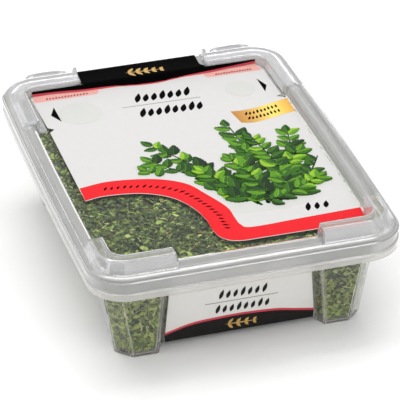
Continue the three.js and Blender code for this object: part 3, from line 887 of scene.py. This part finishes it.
class Sprigs:
    """Printed sprays of toothed leaves, each leaf a little above the one before."""

    def __init__(self, tones, random):
        self.tones, self.random, self.leaves = tones, random, 0
        self.limit = curve_through(SWOOSH_TOP, 6)

    def fits(self, points):
        """True where a leaf stays on the white: above the red band, and clear of ribbon and edges."""
        x, y = points[:, 0], points[:, 1]
        floor = np.interp(x - 1.2, self.limit[:, 0], self.limit[:, 1]) + 1.0
        ribbon = (x > RIBBON_CORNER[0]) & (y > RIBBON_CORNER[1])
        marks = (x > MARKS_CORNER[0]) & (y < MARKS_CORNER[1])
        inside = (x > SPRIG_LEFT) & (x < SPRIG_RIGHT) & (y > floor) & (y < SPRIG_BACK)
        return bool(np.all(inside & ~ribbon & ~marks))

    def leaf(self, root, turn, size, reach):
        """A leaf in two tones with a vein; later ones and ones near the tip are lighter."""
        u = np.linspace(0, 1, 15)
        tooth = 1 - 0.2 * (np.arange(15) % 2)
        half = 0.3 * size * np.sin(math.pi * u ** 0.8) * tooth
        sag = 0.14 * size * self.random.uniform(-1, 1) * np.sin(math.pi * u)
        ridge = np.stack([u * size, sag], 1)
        sides = [np.stack([u * size, sag + side * half], 1) for side in (1, -1)]
        if not self.fits(turned(np.concatenate(sides), turn, *root)):
            return
        self.leaves += 1
        height = INK_DEPTH + 0.002 * self.leaves
        depth = 3.3 - 1.3 * min(self.leaves / 260.0, 1.0) - 1.7 * reach
        light = int(np.clip(round(self.random.normal(depth, 0.7)), 0, 3))
        shapes = (*sides, ridge, ridge + (0, 0.02 * size))
        upper, lower, rib, vein = (turned(shape, turn, *root)[1:-1] for shape in shapes)
        for tone, low, high, depth in ((light, rib, upper, height), (light + 1, lower, rib, height),
                                       (max(light - 1, 0), rib[:-1], vein[:-1], height + 0.001)):
            self.tones[tone].band(low, high, 1, on_panel, INK_BASE, depth)

    def spray(self, start, angle, length, pairs, leaf, bend):
        """A stem with pairs of leaves and one at its tip."""
        count = 24
        t = np.linspace(0, 1, count)
        heading = angle + bend * t
        steps = np.stack([np.cumsum(np.cos(heading)), np.cumsum(np.sin(heading))], 1)
        spine = np.asarray(start) + steps * length / count
        normal = np.stack([-np.sin(heading), np.cos(heading)], 1)
        width = lerp(0.5, 0.2, t)[:, None]
        shown = np.array([self.fits(p[None]) for p in spine])
        last = len(spine) if shown.all() else int(np.argmin(shown))
        if last > 8:
            low, high = spine - normal * width, spine + normal * width
            self.tones[3].band(low[:last], high[:last], 1, on_panel)
        for k in range(pairs):
            at = int(lerp(2, count - 2, k / (pairs - 1)))
            size = leaf * (1.0 - 0.3 * k / pairs) * self.random.uniform(0.8, 1.2)
            for side in (-1, 1):
                self.leaf(spine[at], heading[at] + side * self.random.uniform(0.45, 1.15), size, k / pairs)
        self.leaf(spine[-1], heading[-1], leaf * 0.7, 1.0)


# The white area for the leaves, and where the ribbon and the marks in its corners begin
SPRIG_LEFT, SPRIG_RIGHT, SPRIG_BACK = -27.0, 40.5, 28.5
RIBBON_CORNER, MARKS_CORNER = (19.0, 17.0), (20.5, -35.8)
# Sprays: root, heading, length, pairs of leaves, their size, bend
SPRAYS = [
    ((14, -35), 1.9, 54, 15, 8.0, 0.25), ((21, -34), 1.1, 46, 13, 7.5, 0.3),
    ((10, -33), 2.3, 48, 14, 8.0, 0.5), ((17, -35), 1.45, 54, 15, 7.5, 0.2),
    ((22, -33), 0.8, 32, 9, 7.0, 0.3), ((24, -33), 2.5, 52, 14, 7.5, -0.3),
    ((16, -34), 1.7, 36, 11, 7.5, -0.4), ((19, -34), 1.25, 34, 10, 7.5, -0.3),
    ((9, -29), 2.1, 42, 12, 7.0, 0.9), ((22, -32), 1.3, 42, 12, 7.0, 0.5),
    ((14, -32), 0.3, 24, 8, 6.5, 0.3), ((13, -33), 2.0, 28, 9, 7.0, 0.0),
    ((5, -22), 2.5, 32, 11, 6.5, 0.2), ((17, -30), 1.6, 28, 9, 6.5, 0.3),
    ((12, -30), 2.6, 40, 13, 6.5, -0.5),
]


def make_top_label(inks):
    def top_print(name, ink):
        return Print(name, inks[ink], "printed_film", "top_label")

    top_print("label_film", "film_white").patch(film_outline(), on_panel, 0.0, FILM).make()
    make_seal(top_print)
    band_top, band_low = curve_through(SWOOSH_TOP, 10), curve_through(SWOOSH_LOW, 10)
    top_print("label_red_band", "ink_red").band(band_low, band_top, 3, on_panel).make()

    ovals = top_print("label_ovals", "ink_grey")
    ovals.patch(ellipse(-26.6, 42.6, 7.4, 7.6), on_panel).patch(ellipse(29.6, 43.0, 5.2, 5.4), on_panel)
    ovals.patch(ellipse(16.0, -33.0, 15.0, 3.6), on_panel, thickness=INK).make()
    rule = [(-12.3, 41.85), (14.9, 41.35), (14.9, 41.65), (-12.3, 42.15)]
    top_print("label_rule", "ink_rule").patch(rule, on_panel).make()
    upper = curve_through([(21.7, 28.6), (26.5, 28.2), (31.5, 28.9), (37.0, 30.4), (42.5, 31.9)], 6)
    lower = curve_through([(22.9, 20.2), (26.5, 19.2), (31.5, 19.8), (37.0, 21.4), (42.5, 22.6)], 6)
    top_print("label_ribbon", "gold_ink").band(lower, upper, 2, on_panel).make()

    marks = top_print("label_marks", "ink_black")
    marks.patch([(-33.9, 38.9), (-34.1, 49.2), (-36.3, 43.9)], on_panel)
    marks.patch([(37.1, 38.6), (38.9, 42.9), (37.0, 48.4)], on_panel)
    leaf_row(marks, [(-8.0, 44.0), (12.0, 43.7)], 7, 5.6, 2.0, on_panel)
    leaf_row(marks, [(-9.0, 33.6), (13.5, 33.2)], 8, 5.6, 2.0, on_panel)
    middle = 0.55 * band_low[8:66] + 0.45 * band_top[8:66]
    leaf_row(marks, middle - (0.2, 0.6), 26, 2.0, 0.8, on_panel, 0.5)
    for row in (0.58, 0.22):
        leaf_row(marks, lerp(lower, upper, row)[4:20], 9, 2.2, 0.8, on_panel)
    leaf_row(marks, [(24.5, -40.6), (33.5, -40.3)], 3, 4.4, 1.7, on_panel)
    marks.make()

    greens = [top_print(f"label_green_{i}", f"ink_green_{i}") for i in range(len(GREENS))]
    sprigs = Sprigs(greens, np.random.default_rng(SEED + 5))
    for spray in SPRAYS:
        sprigs.spray(*spray)
    for green in greens:
        green.make()


def make_seal(top_print):
    """The film's way up the wall and over the rim: black, with a red line and pink tear tabs."""
    xs = np.linspace(WALL_ENDS[0, 0], WALL_ENDS[1, 0], 90)
    red = np.interp(xs, *curve_through(RED_LINE, 8).T)

    def line(offset):
        return np.stack([xs, red + offset], 1)

    black = top_print("label_black", "ink_black")
    wall_top = np.where(np.abs(xs) < abs(SEAL_LEFT), 3.0, 2.1)
    black.band(line(0.35), np.stack([xs, np.maximum(wall_top, red + 0.7)], 1), 14, on_top, 0.0, FILM + INK)
    s_values = lerp(2.6, PATH_END, np.linspace(0, 1, 60))
    flare = 2.4 * (1 - np.sqrt(1 - (1 - np.clip((s_values - 2.6) / 2.4, 0, 1)) ** 2))
    left = np.stack([SEAL_LEFT - flare, s_values], 1)
    right = np.stack([SEAL_RIGHT + flare, s_values], 1)
    black.band(left[::-1], right[::-1], 12, on_top, 0.0, FILM + INK).make()
    stripe = top_print("label_red_line", "ink_red_line")
    stripe.band(line(-0.35), line(0.4), 4, on_top, 0.0, FILM + INK + 0.01).make()

    pink = top_print("label_pink", "ink_pink")
    dark = top_print("label_tab_marks", "ink_dark_red")
    for inner, outer_low, outer_high in ((-16.8, -39.6, -39.3), (20.6, 41.1, 39.5)):
        share = np.linspace(0, 1, 30)
        x_low, x_high = lerp(inner, outer_low, share), lerp(inner, outer_high, share)
        rounded = np.clip(abs(x_low - inner) / 1.6, 0, 1)
        low = np.stack([x_low, -3.9 + 1.6 * (1 - np.sqrt(1 - (1 - rounded) ** 2))], 1)
        high = np.stack([x_high, np.interp(x_high, xs, red) - 0.5], 1)
        if inner < 0:
            low, high = low[::-1], high[::-1]
        pink.band(low, high, 8, on_top, 0.0, FILM + INK)
        leaf_row(dark, lerp(low, high, 0.18)[5:25], 14, 1.3, 0.6, on_top, 0.3)
    pink.make()
    dark.make()

    gold = top_print("label_gold_twig", "ink_gold")
    twig(gold, (-6.0, 5.3), (8.0, 4.5), 5, 3.5, on_top)
    gold.make()


def make_front_label(inks):
    def front_print(name, ink):
        return Print(name, inks[ink], "printed_paper", "front_label")

    bottom, top = 2.0, 28.6
    edge = [(-24.6, bottom), (-22.5, top), (22.5, top), (24.6, bottom)]
    front_print("front_film", "film_front").patch(edge, on_front, 0.0, FILM).make()
    line = curve_through([(-24.5, 5.0), (-16.1, 7.3), (-6.7, 8.0), (2.0, 8.1), (11.7, 7.5), (18.0, 6.3),
                          (24.4, 5.1)], 8)
    base = np.stack([line[:, 0], np.full(len(line), bottom + 0.02)], 1)
    front_print("front_black", "ink_black_front").band(base, line - (0, 0.3), 2, on_front).make()
    stripe = front_print("front_red_line", "ink_red_line")
    stripe.band(line - (0, 0.45), line + (0, 0.35), 1, on_front, INK_BASE, MARK_DEPTH).make()
    rule = [(-11.5, 13.7), (12.3, 13.7), (12.3, 13.95), (-11.5, 13.95)]
    front_print("front_rule", "ink_rule").patch(rule, on_front).make()
    marks = front_print("front_marks", "ink_black_front")
    leaf_row(marks, [(-8.0, 15.0), (8.5, 15.0)], 7, 3.2, 1.3, on_front)
    leaf_row(marks, [(-9.0, 9.6), (9.5, 9.6)], 8, 3.0, 1.3, on_front)
    marks.make()
    gold = front_print("front_gold_twig", "ink_gold")
    twig(gold, (-5.0, 4.9), (6.0, 4.7), 4, 2.6, on_front)
    gold.make()


# Herb

# Distance of the scraps from the tub's outside, the number of its walls, and numbers of scraps
HERB_WALL = TUB_WALL + WALL_GAP
WALLS = len(tub_corners(0, 0))
TOP_SCRAPS, SIDE_SCRAPS, FOOT_SCRAPS, FLOOR_SCRAPS = 9000, 13500, 5000, 8500
# Depth, tilt in radians and size of the scraps on a level and against a wall
LEVEL_DEPTH, LEVEL_TILT, LEVEL_SIZE = 1.6, 0.55, 0.85
SIDE_DEPTH, SIDE_TILT, SIDE_SIZE = 1.7, 0.5, 0.72
# Kinds of scrap: sections along it, share of all, lengths, widths, and shares of the leaf tones
SCRAPS = [
    {"along": (-0.5, -0.27, 0.02, 0.29, 0.5), "share": 0.31, "length": (1.7, 3.8), "width": (0.9, 2.1),
     "tones": (0.10, 0.20, 0.28, 0.26, 0.14, 0.01, 0.006)},
    {"along": (-0.5, -0.15, 0.2, 0.5), "share": 0.51, "length": (2.2, 5.2), "width": (0.35, 0.8),
     "tones": (0.26, 0.30, 0.24, 0.12, 0.05, 0.02, 0.005)},
    {"along": (-0.5, -0.1, 0.5), "share": 0.13, "length": (0.8, 1.7), "width": (0.6, 1.1),
     "tones": (0.15, 0.25, 0.3, 0.2, 0.08, 0.01, 0.01)},
    {"along": (-0.5, -0.15, 0.2, 0.5), "share": 0.05, "length": (3.5, 7.5), "width": (0.28, 0.42),
     "tones": (0.0, 0.02, 0.08, 0.15, 0.25, 0.45, 0.05)},
]


def flake_faces(count):
    """Faces of one sliver of the given number of points: a tip, triangular sections and a tip."""
    last = count - 1
    faces = [(0, 2, 1), (0, 3, 2), (0, 1, 3)]
    for k in range(1, last - 3, 3):
        for a, b in ((0, 1), (1, 2), (2, 0)):
            faces.append((k + a, k + b, k + b + 3, k + a + 3))
    return faces + [(last - 3, last - 2, last), (last - 2, last - 1, last), (last - 1, last - 3, last)]


def flakes(kind, centres, along, out, random, size):
    """Curled scraps as closed slivers. Rows of centres and axes give one scrap each."""
    stations, shape = kind["along"], (len(centres), 1)
    length = random.uniform(*kind["length"], shape) * size
    width = random.uniform(*kind["width"], shape) * size
    across = np.cross(out, along)
    curl = random.uniform(-0.35, 0.9, shape) * width * 0.7
    bend = random.uniform(-0.5, 0.5, shape) * width
    twist = random.uniform(-1.1, 1.1, shape)
    thickness = np.minimum(0.14 + 0.1 * random.random(shape), width * 0.35)
    points = []
    for k, t in enumerate(stations):
        spine = (centres + along * (length * t) + across * (bend * (4 * t * t - 0.5))
                 - out * (curl * (4 * t * t - 0.4)))
        if k in (0, len(stations) - 1):
            points.append(spine)
            continue
        cos, sin = np.cos(twist * t), np.sin(twist * t)
        side, face = across * cos + out * sin, out * cos - across * sin
        points += [spine - side * (width * random.uniform(0.3, 0.62, shape)),
                   spine + side * (width * random.uniform(0.3, 0.62, shape)), spine + face * thickness]
    return np.stack(points, 1)


def random_frames(normals, tilt, random):
    """Axes of scraps that lie on a face with the given normals, tilted by up to some radians."""
    shape = (len(normals), 1)
    helper = np.where(np.abs(normals[:, 2:3]) > 0.9, [[1.0, 0, 0]], [[0, 0, 1.0]])
    u = np.cross(helper, normals)
    u /= np.linalg.norm(u, axis=1)[:, None]
    v = np.cross(normals, u)
    turn = random.uniform(0, 2 * math.pi, shape)
    along = u * np.cos(turn) + v * np.sin(turn)
    lean = random.uniform(-tilt, tilt, shape)
    along, out = (along * np.cos(lean) + normals * np.sin(lean),
                  normals * np.cos(lean) - along * np.sin(lean))
    roll = random.uniform(-tilt, tilt, shape)
    return along, out * np.cos(roll) + np.cross(out, along) * np.sin(roll)


def herb_piece(name, heaps, materials, random, painted_light_level):
    """One piece of many scraps: every heap is a kind with an array of scraps; a level above 1 gives lighter
    tones as painted light, below 1 darker tones as painted shade.
    """
    points, faces, tones = [], [], []
    total = 0
    for kind, scraps in heaps:
        n, count = scraps.shape[:2]
        pattern = flake_faces(count)
        faces += [tuple(i + total + k * count for i in face) for k in range(n) for face in pattern]
        shares = np.array(kind["tones"]) * painted_light_level ** np.array([-2, -1, 0, 1, 2, 1, 0])
        tones.append(np.repeat(random.choice(len(materials), n, p=shares / shares.sum()), len(pattern)))
        points.append(scraps.reshape(-1, 3))
        total += n * count
    piece(name, np.concatenate(points), faces, materials, "dried_leaf", ["dried_parsley"],
          SCRAP_ANGLE, np.concatenate(tones))


def level_scraps(count, z, normal_z, limit_x, limit_y, random):
    """Heaps of scraps on a level: under it where normal_z is 1, above it where normal_z is -1."""
    heaps = []
    for kind in SCRAPS:
        n = int(count * kind["share"])
        x, y = random.uniform(-limit_x, limit_x, n), random.uniform(-limit_y, limit_y, n)
        heights = z - normal_z * LEVEL_DEPTH * random.random(n) ** 1.4
        axes = random_frames(np.tile([0.0, 0.0, normal_z], (n, 1)), LEVEL_TILT, random)
        points = flakes(kind, np.stack([x, y, heights], 1), *axes, random, LEVEL_SIZE)
        points[:, :, 2] = normal_z * np.minimum(normal_z * points[:, :, 2], normal_z * z)
        heaps.append((kind, points))
    return heaps


def inside_tub(points, z, wall):
    """True for scraps whose every corner is inside the tub's outline at their height."""
    corners = tub_corners(z, wall)
    flat = points[:, :, :2].reshape(-1, 2)
    inside = np.zeros(len(flat), bool)
    for (x0, y0), (x1, y1) in zip(corners, np.roll(corners, -1, 0)):
        crosses = (y0 > flat[:, 1]) != (y1 > flat[:, 1])
        at = x0 + (x1 - x0) * (flat[:, 1] - y0) / (y1 - y0 + 1e-12)
        inside ^= crosses & (flat[:, 0] < at)
    return inside.reshape(points.shape[:2]).all(1)


def side_scraps(total, random):
    """Heaps of scraps against all walls, pressed flat where they would pass through the plastic."""
    low, high = (np.insert(tub_corners(z, HERB_WALL), 2, z, 1) for z in (0, WALL_TOP))
    along = np.roll(low, -1, 0) - low
    normals = np.cross(along, high - low)
    normals /= np.linalg.norm(normals, axis=1)[:, None]
    lengths = np.linalg.norm(along, axis=1)
    convex = np.cross(np.roll(along, 1, 0), along)[:, 2] > 0
    heaps = []
    for kind in SCRAPS:
        for i in range(WALLS):
            j = (i + 1) % WALLS
            count = max(int(kind["share"] * total * lengths[i] / lengths.sum()), 2)
            middle = np.abs(low[i] + low[j]) / 2
            is_foot = middle[0] > POST_X[0] - 3 and middle[1] > POST_Y[0] - 3
            bottom = FOOT_HERB if is_foot else FLOOR_RISE + TUB_WALL + 0.4
            rise = random.uniform(bottom / WALL_TOP, 1.05, count)[:, None]
            start, end = lerp(low[i], high[i], rise), lerp(low[j], high[j], rise)
            depth = SIDE_DEPTH * random.random(count)[:, None] ** 1.5
            centres = lerp(start, end, random.random(count)[:, None]) - normals[i] * depth
            axes = random_frames(np.tile(normals[i], (count, 1)), SIDE_TILT, random)
            points = flakes(kind, centres, *axes, random, SIDE_SIZE)
            planes = [i] + [(i - 1) % WALLS] * bool(convex[i]) + [j] * bool(convex[j])
            for k in planes * 2:
                past = np.maximum((points - low[k]) @ normals[k] + 0.03, 0)
                points -= past[:, :, None] * normals[k]
            points[:, :, 2] = np.clip(points[:, :, 2], bottom - 0.15, HERB_TOP)
            heaps.append((kind, points))
    return heaps


def make_herb(materials, shade_core_material):
    random = np.random.default_rng(SEED)
    # The top scraps get darker tones as painted shade, the sides and the bottom lighter tones as painted
    # light.
    for name in ("herb_top_a", "herb_top_b"):
        top = []
        for kind, points in level_scraps(TOP_SCRAPS, HERB_TOP, 1, NECK_X - 2.0, NECK_Y - 1.6, random):
            inside = inside_tub(points, WALL_TOP, HERB_WALL)
            lift = np.maximum(FLANGE_TOP + LEDGE_GAP - points[:, :, 2].min(1), 0) * ~inside
            points[:, :, 2] = np.minimum(points[:, :, 2] + lift[:, None], HERB_TOP)
            top.append((kind, points[inside | (points[:, :, 0].max(1) < TOP_X - 1.0)]))
        herb_piece(name, top, materials, random, painted_light_level=0.5)
    for name in ("herb_sides_a", "herb_sides_b"):
        herb_piece(name, side_scraps(SIDE_SCRAPS, random), materials, random, painted_light_level=1.65)
    bottom = []
    for kind, points in level_scraps(FOOT_SCRAPS, FOOT_HERB, -1, FOOT_X, FOOT_Y, random):
        near_x, near_y = np.abs(points[:, :, :2]).min(1).T
        is_foot = (near_x > POST_X[0]) & (near_y > POST_Y[0])
        bottom.append((kind, points[is_foot & inside_tub(points, 2.0, HERB_WALL)]))
    for kind, points in level_scraps(FLOOR_SCRAPS, FLOOR_RISE + TUB_WALL + 0.3, -1, FOOT_X, FOOT_Y, random):
        bottom.append((kind, points[inside_tub(points, 2.0, HERB_WALL)]))
    herb_piece("herb_bottom", bottom, materials, random, painted_light_level=1.2)
    make_shade_core(shade_core_material)


def make_shade_core(material):
    """Dark heap inside, painted shade that shows only between the scraps."""
    inset = TUB_WALL + 2.0
    heights = [(FLOOR_RISE + 2.6, inset + 0.6), (FLOOR_RISE + 3.2, inset), (15.0, inset), (WALL_TOP, inset),
               (HERB_TOP - 2.2, inset), (HERB_TOP - 1.7, inset + 0.6)]
    rings = [tub_ring(min(z, WALL_TOP), wall, z) for z, wall in heights]
    lofted("herb_shade_core", rings, material, "dried_leaf", "dried_parsley", CORE_ANGLE)


# Stage

FLOOR_HALF, FLOOR_GAP = 3.0, 0.0002
WORLD_LIGHT = 0.62
# Place and size of each lamp in metres, and its power
LIGHTS = {
    "overhead_softbox": ((0.0, 0.36, 1.1), (1.0, 0.34), 7.0),
    "left_panel": ((-0.9, -0.2, 0.6), (0.6, 0.5), 2.1),
    "front_fill": ((0.3, -1.1, 0.6), (1.2, 0.8), 3.3),
    "back_panel": ((0.3, 1.5, 0.24), (1.3, 0.36), 3.4),
}
LIGHT_TARGET = (0, 0, 0.03)


def make_stage():
    s = Shader("studio_floor")
    s.colour(s.noise(400.0, 2.0), [(0.3, grey(0.94)), (0.7, grey(0.96))])
    fill(s.principled, Roughness=0.8, Specular_IOR_Level=0.2)
    mesh = bpy.data.meshes.new("floor")
    corners = [(-FLOOR_HALF, -FLOOR_HALF, 0), (FLOOR_HALF, -FLOOR_HALF, 0),
               (FLOOR_HALF, FLOOR_HALF, 0), (-FLOOR_HALF, FLOOR_HALF, 0)]
    mesh.from_pydata(corners, [], [(0, 1, 2, 3)])
    mesh.materials.append(s.material)
    floor = add_object("floor", mesh)
    floor.location.z = -FLOOR_GAP


def make_light():
    scene = bpy.context.scene
    scene.world = bpy.data.worlds.new("studio")
    scene.world.use_nodes = True
    fill(scene.world.node_tree.nodes["Background"], Color=grey(1.0), Strength=WORLD_LIGHT)
    for name, (place, size, energy) in LIGHTS.items():
        data = bpy.data.lights.new(name, "AREA")
        data.shape = "RECTANGLE"
        data.size, data.size_y = size
        data.energy = energy
        light = add_object(name, data)
        light.location = place
        light.rotation_mode = "QUATERNION"
        light.rotation_quaternion = (Vector(place) - Vector(LIGHT_TARGET)).to_track_quat("Z", "Y")
    scene.view_settings.view_transform = "Standard"


# Plastics: colour, clearness, roughness, coat, haze of the shadow, refraction
PLASTICS = {
    "lid_milky": ("CECECD", 0.66, 0.14, 1.0, 0.15, 1.35),
    "lid_tab": ("C2C2C5", 0.6, 0.16, 1.0, 0.15, 1.35),
    "lid_window": ("FCFCFC", 1.0, 0.03, 0.3, 0.03, 1.15),
    "lid_frosted": ("EAEAEC", 0.74, 0.16, 1.0, 0.1, 1.3),
    "lid_ridge_top": ("EFEFE6", 0.92, 0.1, 0.6, 0.06, 1.2),
    "tub_clear": ("F8F8F5", 0.99, 0.03, 0.8, 0.04, 1.12),
    # Hazier plastic of the flange, and a painted highlight on the walls' edges and the feet
    "tub_edge_haze_and_highlight": ("E4E2DE", 0.6, 0.15, 0.5, 0.1, 1.3),
}
# Inks and films: colour, darker share, roughness, gloss, size of the mottle
INKS = {
    "film_white": ("D3D2D0", 0.985, 0.4),
    "film_front": ("E0DEDA", 0.985, 0.4),
    "ink_black": ("070707", 0.8, 0.6, 0.01),
    "ink_black_front": ("1C1B1A", 0.8, 0.42, 0.15),
    "ink_dark_red": ("7A3A38", 0.9, 0.42, 0.15),
    "ink_red_line": ("CC4652", 0.95, 0.42, 0.1),
    "ink_red": ("E6222A", 0.96, 0.5, 0.06),
    "ink_pink": ("E2A8A0", 0.96, 0.5, 0.1),
    "ink_grey": ("CECECB", 0.985),
    "ink_rule": ("8A8A88", 0.95),
    "ink_gold": ("C9A156", 0.85, 0.36, 0.5, 1.5),
}
GREENS = ["98C62E", "5E9A18", "346A10", "1D480B", "0F2E07"]
INKS.update({f"ink_green_{i}": (code, 0.72, 0.42, 0.12, 0.9) for i, code in enumerate(GREENS)})
# Dark and light colour of each tone of the scraps
LEAF_TONES = [("2A3620", "465330"), ("3F4F27", "5D7038"), ("566A2E", "7C9044"), ("74883C", "9BAE56"),
              ("8E9F4C", "B7C172"), ("B5B070", "D2CD96"), ("7A5C34", "A07E4C")]


def main():
    make_camera()
    plastics = {name: plastic(name, *values) for name, values in PLASTICS.items()}
    make_lid(*[plastics[name] for name in ("lid_milky", "lid_window", "lid_frosted", "lid_ridge_top")])
    make_tabs(plastics["lid_tab"])
    make_fins(plastics["lid_frosted"])
    make_tub(plastics["tub_clear"], plastics["tub_edge_haze_and_highlight"])
    inks = {name: printed(name, *values) for name, values in INKS.items()}
    inks["gold_ink"] = gold_ink()
    make_top_label(inks)
    make_front_label(inks)
    leaves = [leaf_material(f"dry_leaf_{i}", *tones) for i, tones in enumerate(LEAF_TONES)]
    # The heap inside has dark colours as painted shade between the scraps.
    make_herb(leaves, leaf_material("herb_shade_core", "20281A", "333F28"))
    make_stage()
    make_light()


main()
